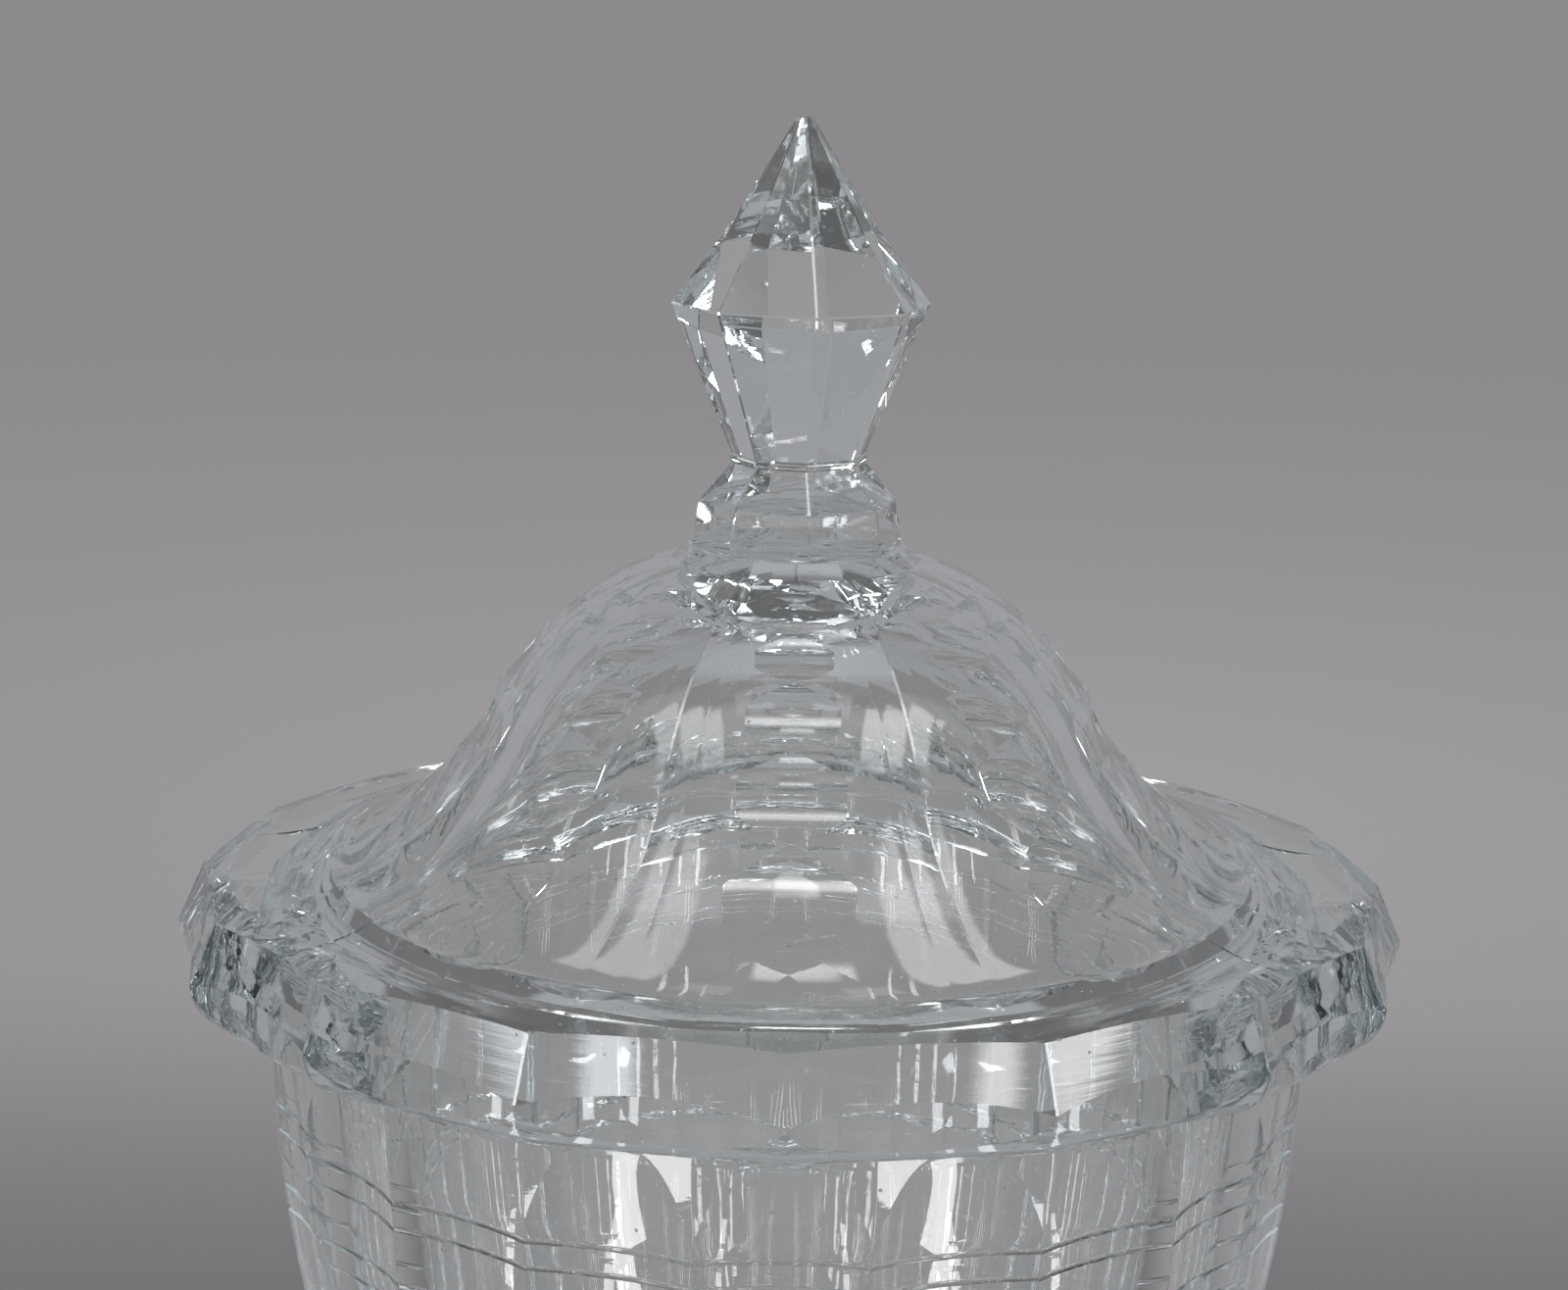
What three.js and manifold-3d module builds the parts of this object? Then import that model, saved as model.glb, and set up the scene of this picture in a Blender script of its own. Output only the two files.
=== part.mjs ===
// A covered cut glass compote: a fluted bowl on an eight sided stem and a panelled foot,
// with a lift-off lid whose dome has notched ridges, a facet cut rim and a spire finial.
// Millimetres, +Z up, the table at zero and the front of the glass towards -Y.

import * as THREE from "three";
import { mergeVertices } from "three/addons/utils/BufferGeometryUtils.js";
import Module from "manifold-3d";

const wasm = await Module();
wasm.setup();

// Counts of the cut pattern
const lidPanels = 16;
const footPanels = 16;
const bowlFlutes = 20;
const stemSides = 8;
const notchedRidges = 8;
const notchCount = 7;

// Lid: the rim, with heights above the face that rests on the bowl
const rimRadius = 91;
const rimUnderside = 7.6;
const facetHeight = 8.7;
const facetLean = 3.8;
const brimBandRise = 1.35;
const brimBandWidth = 5;
const seatWidth = 12.4;
const undersideTuck = 0.9;
const scallopRise = 2.3;
const scallopReach = 0.4;

// Lid: the dome's ridge line, from the crown over the shoulder and waist to the brim
const crownHeight = 66;
const crownThickness = 8;
const coveHeight = 2;
const coveWidth = 2.2;
const shoulderAngle = 13;
const shoulderPull = 11;
const waistRadius = 46.5;
const waistHeight = 39.6;
const waistAngle = 63;
const waistPullUp = 14.7;
const waistPullDown = 9;
const brimAngle = 3;
const brimPull = 19;
const lidWall = 5.5;
const hollowFullness = 0.6;

// Lid: the flange that drops into the bowl's mouth, thinner towards its lip
const flangeDepth = 5;
const flangeLip = 2.6;
const flangeClearance = 0.8;
const flangeTop = 11;
const flangeTopWall = 4.7;
const flangeTopAngle = 15;
const flangeTopPull = 7;

// Lid: the wheel cut notches, which grow from the crown to the brim
const notchGrowth = 1.24;
const notchSpread = 10.5;
const notchBluntness = 0.88;
const notchStart = 0.6;
const notchEnd = 0.5;

// Finial: the spire above the collar's neck
const finialTurn = 6.8;
const neckRadius = 9.8;
const girdleRadius = 18.9;
const girdleHeight = 22;
const spireBreakRadius = 11;
const spireBreakHeight = 32.8;
const spireHeight = 48.7;
const tipHeight = 2.8;
const tipRadius = 2.9;
const tipFlat = 1.1;

// Collars: one under the finial and one at each end of the stem
const collarHeight = 13.3;
const collarBandHeight = 6.5;
const collarBandRadius = 14.5;
const collarFootRadius = 15.5;
const collarMargin = 0.6;
const filletHeight = 0.5;
const filletProud = 0.45;

// Bowl
const bowlRadius = 76.6;
const bowlHeight = 110.4;
const bowlWall = 5;
const bowlFloor = 8;
const bowlFullness = 2.3;
const mouthBevel = 0.6;

// Bowl: the hollow flutes with arched tops, and the fine rings that cross them
const fluteWheelRadius = 45;
const fluteBite = 0.1;
const archTop = 1.2;
const archHeight = 14.3;
const archRoundness = 0.7;
const firstRing = 1.3;
const ringGap = 3.9;
const ringPairPitch = 12.4;
const ringPairs = 2;
const ringDepth = 0.35;
const ringWidth = 0.9;

// Stem and foot
const knopHeight = 26;
const knopRadius = 17;
const footHeight = 17;
const footRadius = 65;
const footBevel = 1.6;
const footFacetHeight = 6;
const footFacetLean = 2.2;
const footBrimWidth = 3;
const footBrimRise = 0.9;
const footSlope = 38;
const footPull = 16;
const footBrimPull = 20;
const footRestWidth = 12;
const footRecess = 2.5;

// How finely the curves are divided
const roundSides = 48;
const curveSteps = 8;
const undersideSteps = 4;
const notchSides = 32;
const scallopSides = 60;
const fluteSides = 32;
const archSteps = 5;

// How far a cutter runs past the glass that it cuts
const overrun = 2;

// Corners closer than this are one corner
const weldDistance = 1e-4;

const radians = THREE.MathUtils.degToRad;
const point = (radius, height) => new THREE.Vector2(radius, height);
const axisPoint = (height) => point(0, height);

// The point at a distance from another, in a direction given in degrees from straight out
function along(from, degrees, distance) {
  const heading = radians(degrees);
  return point(from.x + distance * Math.cos(heading), from.y + distance * Math.sin(heading));
}

// The share of a ridge's radius that is left at the middle of the flat beside it
const flatShare = (sides) => Math.cos(Math.PI / sides);

// Solids

// A closed geometry as a solid, with its faces pointing out
function solidOf(geometry) {
  const bare = new THREE.BufferGeometry();
  bare.setAttribute("position", geometry.getAttribute("position"));
  bare.setIndex(geometry.getIndex());
  const merged = mergeVertices(bare, weldDistance);
  const vertProperties = new Float32Array(merged.getAttribute("position").array);
  const cornerAt = (index) => new THREE.Vector3().fromArray(vertProperties, 3 * index);
  const triangles = [];
  let volume = 0;
  for (let i = 0; i < merged.index.count; i += 3) {
    const [a, b, c] = [0, 1, 2].map((k) => merged.index.getX(i + k));
    if (a === b || b === c || c === a) continue;
    volume += cornerAt(a).dot(cornerAt(b).cross(cornerAt(c)));
    triangles.push([a, b, c]);
  }
  const facingOut = volume > 0 ? triangles : triangles.map(([a, b, c]) => [a, c, b]);
  const triVerts = new Uint32Array(facingOut.flat());
  return new wasm.Manifold(new wasm.Mesh({ numProp: 3, vertProperties, triVerts }));
}

// A profile turned about the upright axis, with a corner at the front before its turn
function turned(profile, sides, turn = 0) {
  const lathe = new THREE.LatheGeometry(profile, sides);
  return solidOf(lathe.rotateX(Math.PI / 2).rotateZ(radians(turn)));
}

// Takes copies of a cutter out of a blank, spread evenly about the upright axis
function cutAround(blank, cutter, count, firstTurn = 0) {
  let cut = blank;
  for (let i = 0; i < count; i += 1) {
    const turn = radians(firstTurn + (360 * i) / count);
    cut = cut.subtract(solidOf(cutter.clone().rotateZ(turn)));
  }
  return cut;
}

function glassMesh(name, solid, height, turn = 0) {
  const { vertProperties, triVerts } = solid.getMesh();
  const geometry = new THREE.BufferGeometry();
  geometry.setAttribute("position", new THREE.BufferAttribute(vertProperties, 3));
  geometry.setIndex(new THREE.BufferAttribute(triVerts, 1));
  geometry.computeVertexNormals();
  const glass = new THREE.MeshStandardMaterial({
    color: 0xe4ebeb,
    roughness: 0.04,
    metalness: 0,
    transparent: true,
    opacity: 0.4,
  });
  const mesh = new THREE.Mesh(geometry, glass);
  mesh.name = name;
  mesh.position.z = height;
  mesh.rotation.z = radians(turn);
  return mesh;
}

// Sizes that mating pieces share

const collarSeatRadius = collarFootRadius + collarMargin;
const mouthRadius = bowlRadius * flatShare(bowlFlutes) - bowlWall;
const flangeRadius = mouthRadius - flangeClearance;
const seatOuterRadius = flangeRadius + seatWidth;

const footCollarBase = footHeight;
const knopBase = footCollarBase + collarHeight;
const bowlCollarBase = knopBase + knopHeight;
const mouthHeight = bowlCollarBase + collarHeight + bowlHeight;

// Lid dome

const crown = point(collarSeatRadius, crownHeight);
const shoulder = point(crown.x + coveWidth, crown.y - coveHeight);
const waist = point(waistRadius, waistHeight);
const facetFoot = point(rimRadius, rimUnderside);
const facetTop = point(facetFoot.x - facetLean, facetFoot.y + facetHeight);
const brim = point(facetTop.x - brimBandWidth, facetTop.y + brimBandRise);

const ridgeLine = new THREE.CurvePath();
ridgeLine.add(
  new THREE.CubicBezierCurve(
    shoulder,
    along(shoulder, -shoulderAngle, shoulderPull),
    along(waist, 180 - waistAngle, waistPullUp),
    waist,
  ),
);
ridgeLine.add(
  new THREE.CubicBezierCurve(
    waist,
    along(waist, -waistAngle, waistPullDown),
    along(brim, 180 - brimAngle, brimPull),
    brim,
  ),
);

const underside = new THREE.QuadraticBezierCurve(
  facetFoot,
  point(facetFoot.x - undersideTuck, undersideTuck),
  point(seatOuterRadius, 0),
);

// Where the ridge line, carried on straight past the brim, meets the rim's leaning facets
function brimCorner() {
  const fall = Math.tan(radians(brimAngle));
  const lean = facetLean / facetHeight;
  const drop = fall * (facetFoot.x + lean * facetFoot.y - brim.x);
  const height = (brim.y - drop) / (1 - fall * lean);
  return point(facetFoot.x - lean * (height - facetFoot.y), height);
}

// The panelled blank, before its ridges and rim are wheel cut
function lidBlank() {
  const outline = [
    axisPoint(crown.y),
    crown,
    ...ridgeLine.getPoints(curveSteps),
    brimCorner(),
    ...underside.getPoints(undersideSteps),
    axisPoint(0),
  ];
  return turned(outline, lidPanels);
}

// What a round band, turned along the brim, takes off the panels and the facets
function brimBandCutter() {
  const outer = rimRadius + overrun;
  const low = brim.y - (brimBandRise / brimBandWidth) * (outer - brim.x);
  const top = brim.y + overrun;
  return turned([brim, point(outer, low), point(outer, top), point(brim.x, top), brim], roundSides);
}

// The smooth hollow under the dome, which turns down at the flange's top and runs through it
function lidHollow() {
  const top = axisPoint(crown.y - crownThickness);
  const inset = lidWall + waist.x * (1 - flatShare(lidPanels));
  const middle = along(waist, 270 - waistAngle, inset);
  const turn = point(flangeRadius - flangeTopWall, flangeTop);
  const lipRadius = flangeRadius - flangeLip;
  const upper = new THREE.CubicBezierCurve(
    top,
    point(hollowFullness * middle.x, top.y),
    along(middle, 180 - waistAngle, waistPullUp),
    middle,
  );
  const lower = new THREE.CubicBezierCurve(
    middle,
    along(middle, -waistAngle, waistPullDown),
    along(turn, 180 - flangeTopAngle, flangeTopPull),
    turn,
  );
  const outline = [
    ...upper.getPoints(curveSteps),
    ...lower.getPoints(curveSteps).slice(1),
    point(lipRadius, -flangeDepth),
    point(lipRadius, -flangeDepth - overrun),
    axisPoint(-flangeDepth - overrun),
  ];
  return turned(outline, roundSides);
}

function lidFlange() {
  const outline = [
    axisPoint(overrun),
    point(flangeRadius, overrun),
    point(flangeRadius, -flangeDepth),
    axisPoint(-flangeDepth),
  ];
  return turned(outline, roundSides);
}

// Where one notch ends and the next begins, along the ridge line
function notchEnds() {
  const length = ridgeLine.getLength();
  const room = length - notchStart - notchEnd;
  const first = (room * (notchGrowth - 1)) / (notchGrowth ** notchCount - 1);
  const ends = [];
  for (let i = 0; i <= notchCount; i += 1) {
    ends.push((notchStart + (first * (notchGrowth ** i - 1)) / (notchGrowth - 1)) / length);
  }
  return ends;
}

// A wheel lying across the front ridge, which cuts from one notch end to the other.
// It goes deeper where the ridge is steep, so that each notch spreads over the same angle.
function notchWheel(start, end) {
  const from = ridgeLine.getPoint(start);
  const to = ridgeLine.getPoint(end);
  const top = ridgeLine.getPoint((start + end) / 2);
  const chord = to.clone().sub(from);
  const outward = point(-chord.y, chord.x).normalize();
  const centre = from.clone().add(to).multiplyScalar(0.5);
  const steepness = -chord.y / chord.length();
  const reach = top.x * Math.tan(radians(notchSpread));
  const depth = reach * Math.tan(Math.PI / lidPanels) * steepness;
  const sag = depth - top.clone().sub(centre).dot(outward);
  const radius = (chord.lengthSq() / 4 + sag * sag) / (2 * sag);
  centre.addScaledVector(outward, radius - sag);
  const wheel = new THREE.CylinderGeometry(radius, radius, 2 * reach * notchBluntness, notchSides);
  return wheel.rotateZ(Math.PI / 2).translate(0, -centre.x, centre.y);
}

// A long wheel that hollows the rim's underside below one facet, so that the facet's lower
// edge arches up between its corners. The hollow fades out on the way round the underside.
function scallopWheel() {
  const flat = flatShare(lidPanels);
  const arch = facetFoot.clone().lerp(facetTop, scallopRise / facetHeight);
  const outer = point(arch.x * flat, arch.y);
  const fade = underside.getPoint(scallopReach);
  const inner = point(fade.x * flat, fade.y);
  const slope = outer.clone().sub(inner);
  const length = slope.length();
  const downward = point(slope.y, -slope.x).normalize();
  const sag = point(facetFoot.x * flat, facetFoot.y).sub(outer).dot(downward);
  const halfFacet = facetFoot.x * Math.sin(Math.PI / lidPanels);
  const radius = (halfFacet * halfFacet + sag * sag) / (2 * sag);
  const centre = outer.clone().add(inner).multiplyScalar(0.5).addScaledVector(downward, radius);
  const wheel = new THREE.CylinderGeometry(radius, radius, length + 2 * overrun, scallopSides);
  const lean = Math.atan2(slope.x, slope.y);
  return wheel.rotateX(Math.PI / 2).rotateX(lean).translate(0, -centre.x, centre.y);
}

function lidDome() {
  let dome = lidBlank();
  const ends = notchEnds();
  for (let i = 0; i < notchCount; i += 1) {
    dome = cutAround(dome, notchWheel(ends[i], ends[i + 1]), notchedRidges);
  }
  dome = dome.subtract(brimBandCutter());
  dome = cutAround(dome, scallopWheel(), lidPanels, 180 / lidPanels);
  return dome.add(lidFlange()).subtract(lidHollow());
}

// Finial, collars and knop

function finialSpire() {
  const outline = [
    axisPoint(0),
    point(neckRadius, 0),
    point(girdleRadius, girdleHeight),
    point(spireBreakRadius, spireBreakHeight),
    point(tipRadius, spireHeight - tipHeight),
    point(tipFlat, spireHeight),
    axisPoint(spireHeight),
  ];
  return turned(outline, stemSides);
}

function collar(upsideDown) {
  const outline = [
    axisPoint(0),
    point(collarFootRadius, 0),
    point(collarBandRadius, collarBandHeight),
    point(neckRadius, collarHeight - 2 * filletHeight),
    point(neckRadius + filletProud, collarHeight - filletHeight),
    point(neckRadius, collarHeight),
    axisPoint(collarHeight),
  ];
  if (upsideDown) {
    outline.forEach((corner) => corner.setY(collarHeight - corner.y));
  }
  return turned(outline, stemSides);
}

function stemKnop() {
  const outline = [
    axisPoint(0),
    point(neckRadius, 0),
    point(knopRadius, knopHeight / 2),
    point(neckRadius, knopHeight),
    axisPoint(knopHeight),
  ];
  return turned(outline, stemSides);
}

// Bowl, with its zero at the mouth

// The reach of the full curve, whose lowest part the stem's collar takes the place of
const bowlReach =
  bowlHeight / (1 - (collarSeatRadius / bowlRadius) ** bowlFullness) ** (1 / bowlFullness);

function fullCurve(radius, depth, share) {
  const angle = (share * Math.PI) / 2;
  const power = 2 / bowlFullness;
  return point(radius * Math.cos(angle) ** power, -depth * Math.sin(angle) ** power);
}

function ridgeRadius(height) {
  const share = Math.min(Math.max(-height / bowlReach, 0), bowlHeight / bowlReach);
  return bowlRadius * (1 - share ** bowlFullness) ** (1 / bowlFullness);
}

// Heights down the bowl's ridges, closer together where the curve is tighter
function bowlHeights() {
  const lastShare = Math.acos((collarSeatRadius / bowlRadius) ** (bowlFullness / 2)) / (Math.PI / 2);
  const heights = [];
  for (let i = 1; i < curveSteps; i += 1) {
    heights.push(fullCurve(bowlRadius, bowlReach, (lastShare * i) / curveSteps).y);
  }
  return [...heights, -bowlHeight];
}

function bowlBlank() {
  const outline = [
    axisPoint(0),
    point(bowlRadius - mouthBevel, 0),
    point(bowlRadius, -mouthBevel),
    ...bowlHeights().map((height) => point(ridgeRadius(height), height)),
    axisPoint(-bowlHeight),
  ];
  return turned(outline, bowlFlutes, 180 / bowlFlutes);
}

function bowlHollow() {
  const outline = [axisPoint(overrun), point(mouthRadius, overrun)];
  for (let i = 0; i <= curveSteps; i += 1) {
    outline.push(fullCurve(mouthRadius, bowlHeight - bowlFloor, i / curveSteps));
  }
  return turned(outline, roundSides);
}

function ringHeights() {
  const heights = [];
  for (let i = 0; i < ringPairs; i += 1) {
    const upper = -archTop - archHeight - firstRing - i * ringPairPitch;
    heights.push(upper, upper - ringGap);
  }
  return heights;
}

// The wheel that hollows the front flute. Its axis stands upright in front of the bowl, and
// its outline follows the bowl's: full depth up to the arch, then less and less to nothing.
function fluteWheel() {
  const flat = flatShare(bowlFlutes);
  const axisRadius = bowlRadius * flat + fluteWheelRadius;
  const archFoot = -archTop - archHeight;
  const rings = ringHeights();
  const fullDepth = (height) => {
    const ridge = ridgeRadius(height);
    const halfFlute = ridge * Math.sin(Math.PI / bowlFlutes);
    return (halfFlute * halfFlute) / (2 * (axisRadius - ridge * flat)) + fluteBite;
  };
  const depthAt = (height) => {
    if (height > archFoot) {
      const share = Math.max(0, (-archTop - height) / archHeight);
      return fullDepth(archFoot) * share ** archRoundness;
    }
    return fullDepth(height) + (rings.includes(height) ? ringDepth : 0);
  };
  const heights = bowlHeights().filter((height) => height < archFoot);
  for (const ring of rings) {
    heights.push(ring - ringWidth / 2, ring, ring + ringWidth / 2);
  }
  for (let i = 0; i < archSteps; i += 1) {
    heights.push(archFoot + archHeight * (1 - (1 - i / archSteps) ** 2));
  }
  heights.push(-bowlHeight - overrun);
  heights.sort((low, high) => low - high);
  const outline = heights.map((height) =>
    point(axisRadius - ridgeRadius(height) * flat + depthAt(height), height),
  );
  outline.unshift(axisPoint(-bowlHeight - overrun));
  outline.push(point(fluteWheelRadius - fluteBite, -archTop), axisPoint(-archTop));
  const lathe = new THREE.LatheGeometry(outline, fluteSides);
  const halfFacet = Math.PI / fluteSides;
  return lathe.rotateX(Math.PI / 2).rotateZ(halfFacet).translate(0, -axisRadius, 0);
}

function flutedBowl() {
  return cutAround(bowlBlank(), fluteWheel(), bowlFlutes).subtract(bowlHollow());
}

// Foot

function foot() {
  const top = point(collarSeatRadius, footHeight);
  const edge = point(footRadius, footBevel);
  const edgeTop = point(edge.x - footFacetLean, edge.y + footFacetHeight);
  const brimInner = point(edgeTop.x - footBrimWidth, edgeTop.y + footBrimRise);
  const slope = new THREE.CubicBezierCurve(
    top,
    along(top, -footSlope, footPull),
    along(brimInner, 180 - brimAngle, footBrimPull),
    brimInner,
  );
  const outline = [
    axisPoint(top.y),
    ...slope.getPoints(curveSteps),
    edgeTop,
    edge,
    point(edge.x - footBevel, 0),
    axisPoint(0),
  ];
  const recessRadius = edge.x - footBevel - footRestWidth;
  const recess = [
    axisPoint(footRecess),
    point(recessRadius - footRecess, footRecess),
    point(recessRadius, 0),
    point(recessRadius, -overrun),
    axisPoint(-overrun),
  ];
  return turned(outline, footPanels).subtract(turned(recess, roundSides));
}

// Assembly

const base = new THREE.Group();
base.add(glassMesh("foot", foot(), 0));
base.add(glassMesh("foot_collar", collar(false), footCollarBase));
base.add(glassMesh("stem_knop", stemKnop(), knopBase));
base.add(glassMesh("bowl_collar", collar(true), bowlCollarBase));
base.add(glassMesh("bowl", flutedBowl(), mouthHeight));

const lid = new THREE.Group();
lid.position.z = mouthHeight;
lid.add(glassMesh("lid_dome", lidDome(), 0));
lid.add(glassMesh("finial_collar", collar(false), crownHeight, finialTurn));
lid.add(glassMesh("finial_spire", finialSpire(), crownHeight + collarHeight, finialTurn));

const compote = new THREE.Group();
compote.add(base, lid);

export default compote;
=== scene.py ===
"""A covered cut glass compote in soft studio light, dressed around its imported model.

The lid with its finial is one piece of glass, and the bowl with its stem and foot is
another, because their parts are joined hot. Metres, +Z up, the front towards -Y.
"""

import math

import bmesh
import bpy
from mathutils import Matrix, Vector


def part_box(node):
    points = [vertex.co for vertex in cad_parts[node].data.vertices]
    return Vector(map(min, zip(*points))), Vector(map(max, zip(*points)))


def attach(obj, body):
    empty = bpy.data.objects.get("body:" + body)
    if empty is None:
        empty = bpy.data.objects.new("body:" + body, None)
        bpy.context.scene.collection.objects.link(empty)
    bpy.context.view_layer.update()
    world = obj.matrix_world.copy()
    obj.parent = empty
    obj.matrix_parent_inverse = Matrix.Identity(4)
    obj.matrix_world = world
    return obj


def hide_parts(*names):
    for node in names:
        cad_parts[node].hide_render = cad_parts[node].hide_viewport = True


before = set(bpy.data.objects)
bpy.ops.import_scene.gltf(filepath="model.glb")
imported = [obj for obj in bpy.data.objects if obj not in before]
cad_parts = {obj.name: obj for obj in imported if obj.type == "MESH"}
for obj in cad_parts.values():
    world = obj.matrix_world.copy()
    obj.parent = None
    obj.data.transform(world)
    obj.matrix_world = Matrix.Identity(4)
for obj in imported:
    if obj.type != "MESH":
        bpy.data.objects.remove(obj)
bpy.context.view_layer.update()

MM = 0.001

# Counts of the cut pattern
LID_PANELS = 16
FOOT_PANELS = 16
BOWL_FLUTES = 20
STEM_SIDES = 8
NOTCHED_RIDGES = 8
NOTCH_COUNT = 7

# Heights at which the pieces meet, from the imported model
MOUTH_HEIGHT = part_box("bowl")[1].z
CROWN_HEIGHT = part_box("finial_collar")[0].z
SPIRE_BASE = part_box("finial_spire")[0].z
SPIRE_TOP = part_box("finial_spire")[1].z
BOWL_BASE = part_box("bowl")[0].z
KNOP_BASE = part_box("stem_knop")[0].z
KNOP_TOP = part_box("stem_knop")[1].z
FOOT_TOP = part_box("foot")[1].z
BOWL_HEIGHT = MOUTH_HEIGHT - BOWL_BASE
COLLAR_HEIGHT = SPIRE_BASE - CROWN_HEIGHT

# Lid rim, with heights above the face that rests on the bowl
RIM_RADIUS = 91 * MM
RIM_UNDERSIDE = 7.6 * MM
FACET_HEIGHT = 8.7 * MM
FACET_LEAN = 3.8 * MM
BRIM_BAND_RISE = 1.35 * MM
BRIM_BAND_WIDTH = 5 * MM
SEAT_WIDTH = 12.4 * MM
UNDERSIDE_TUCK = 0.9 * MM
SCALLOP_RISE = 2.3 * MM
SCALLOP_REACH = 0.4

# Lid dome
COVE_HEIGHT = 2 * MM
COVE_WIDTH = 2.2 * MM
SHOULDER_ANGLE = 13
SHOULDER_PULL = 11 * MM
WAIST_RADIUS = 46.5 * MM
WAIST_HEIGHT = 39.6 * MM
WAIST_ANGLE = 63
WAIST_PULL_UP = 14.7 * MM
WAIST_PULL_DOWN = 9 * MM
BRIM_ANGLE = 3
BRIM_PULL = 19 * MM
LID_WALL = 5.5 * MM
CROWN_THICKNESS = 8 * MM
HOLLOW_FULLNESS = 0.6
FLANGE_DEPTH = 5 * MM
FLANGE_LIP = 2.6 * MM
FLANGE_CLEARANCE = 0.8 * MM
FLANGE_TOP = 11 * MM
FLANGE_TOP_WALL = 4.7 * MM
FLANGE_TOP_ANGLE = 15
FLANGE_TOP_PULL = 7 * MM

# Notches along every second ridge of the dome
NOTCH_GROWTH = 1.24
NOTCH_SPREAD = 10.5
NOTCH_BLUNTNESS = 0.88
NOTCH_START = 0.6 * MM
NOTCH_END = 0.5 * MM

# Finial, collars and knop
FINIAL_TURN = 6.8
NECK_RADIUS = 9.8 * MM
GIRDLE_RADIUS = 18.9 * MM
GIRDLE_HEIGHT = 22 * MM
SPIRE_BREAK_RADIUS = 11 * MM
SPIRE_BREAK_HEIGHT = 32.8 * MM
TIP_HEIGHT = 2.8 * MM
TIP_RADIUS = 2.9 * MM
TIP_FLAT = 1.1 * MM
COLLAR_BAND_HEIGHT = 6.5 * MM
COLLAR_BAND_RADIUS = 14.5 * MM
COLLAR_FOOT_RADIUS = 15.5 * MM
COLLAR_MARGIN = 0.6 * MM
FILLET_HEIGHT = 0.5 * MM
FILLET_PROUD = 0.45 * MM
KNOP_RADIUS = 17 * MM

# Bowl
BOWL_RADIUS = 76.6 * MM
BOWL_WALL = 5 * MM
BOWL_FLOOR = 8 * MM
BOWL_FULLNESS = 2.3
MOUTH_BEVEL = 0.6 * MM
FLUTE_WHEEL_RADIUS = 45 * MM
FLUTE_BITE = 0.1 * MM
FLUTE_SWEEP = 20
ARCH_TOP = 1.2 * MM
ARCH_HEIGHT = 14.3 * MM
ARCH_ROUNDNESS = 0.7
FIRST_RING = 1.3 * MM
RING_GAP = 3.9 * MM
RING_PAIR_PITCH = 12.4 * MM
RING_PAIRS = 2
RING_DEPTH = 0.35 * MM
RING_WIDTH = 0.9 * MM

# Foot
FOOT_RADIUS = 65 * MM
FOOT_BEVEL = 1.6 * MM
FOOT_FACET_HEIGHT = 6 * MM
FOOT_FACET_LEAN = 2.2 * MM
FOOT_BRIM_WIDTH = 3 * MM
FOOT_BRIM_RISE = 0.9 * MM
FOOT_SLOPE = 38
FOOT_PULL = 16 * MM
FOOT_BRIM_PULL = 20 * MM
FOOT_REST_WIDTH = 12 * MM
FOOT_RECESS = 2.5 * MM

# The narrow polished bevel along each cut edge, and the most of an edge that it takes
RIDGE_BEVEL = 0.22 * MM
EDGE_BEVEL = 0.18 * MM
FLANGE_BEVEL = 4 * EDGE_BEVEL
BEVEL_LIMIT = 0.3

# The bowl's mouth stands this much lower, so that light crosses the air under the lid
SEAT_GAP = 0.06 * MM

# How finely the curves are divided
ROUND_SIDES = 192
CURVE_STEPS = 56
UNDERSIDE_STEPS = 14
NOTCH_STEPS = 40
SCALLOP_STEPS = 40
FLUTE_STEPS = 40
ARCH_STEPS = 28
RING_STEPS = 8

# How far a cutter reaches past the glass. The run is a length, the overruns are multiples
# of the arc that cuts, and the lifts are multiples of the cut's depth
CUTTER_RUN = 2 * MM
NOTCH_OVERRUN = 1.25
NOTCH_LIFT = 2
SCALLOP_OVERRUN = 1.12
SCALLOP_LIFT = 3

# Where the flute wheel's slice ends, as a share of its radius, and how far from a ring's
# middle the other rows keep, as a share of the ring's width
FLUTE_SLICE = 0.6
RING_CLEAR = 0.51

# Edges between two kinds of surface are sharp, and so is any edge that turns further
SURFACES = ("panel_even", "panel_odd", "ridge", "cut_even", "cut_odd", "blown")
SHARP_TURN = math.radians(12)

# Points closer than this to each other are one point, and closer than this to the axis
# are on it
WELD_DISTANCE = 1e-7
AXIS_DISTANCE = 1e-9

# The photograph's camera: its frame, its lens and where it stands from the lid's rim
IMAGE_WIDTH = 1600
SENSOR_WIDTH = 36
CLIP_START = 10 * MM
FOCAL_PIXELS = 4000
CAMERA_DISTANCE = 562.8 * MM
CAMERA_RISE = 161.6 * MM
CAMERA_TILT = 0.2072
CAMERA_ROLL = 0.019
CAMERA_YAW = -0.0028


# Grey paper: its colour in the distance, in the pool of light behind the object and
# close to the object, where the light falls off
PAPER = (0.262, 0.254, 0.261)
PAPER_POOL = (0.355, 0.346, 0.354)
PAPER_NEAR = (0.17, 0.166, 0.172)
PAPER_ROUGHNESS = 0.8
POOL_DISTANCE = 0.8
POOL_DEPTH = 1.5
POOL_WIDTH = 1.6
POOL_SHIFT = -0.05
NEAR_START = 0.62
NEAR_END = 0.26
FLOOR_RADIUS = 30
FLOOR_SIDES = 96

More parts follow.
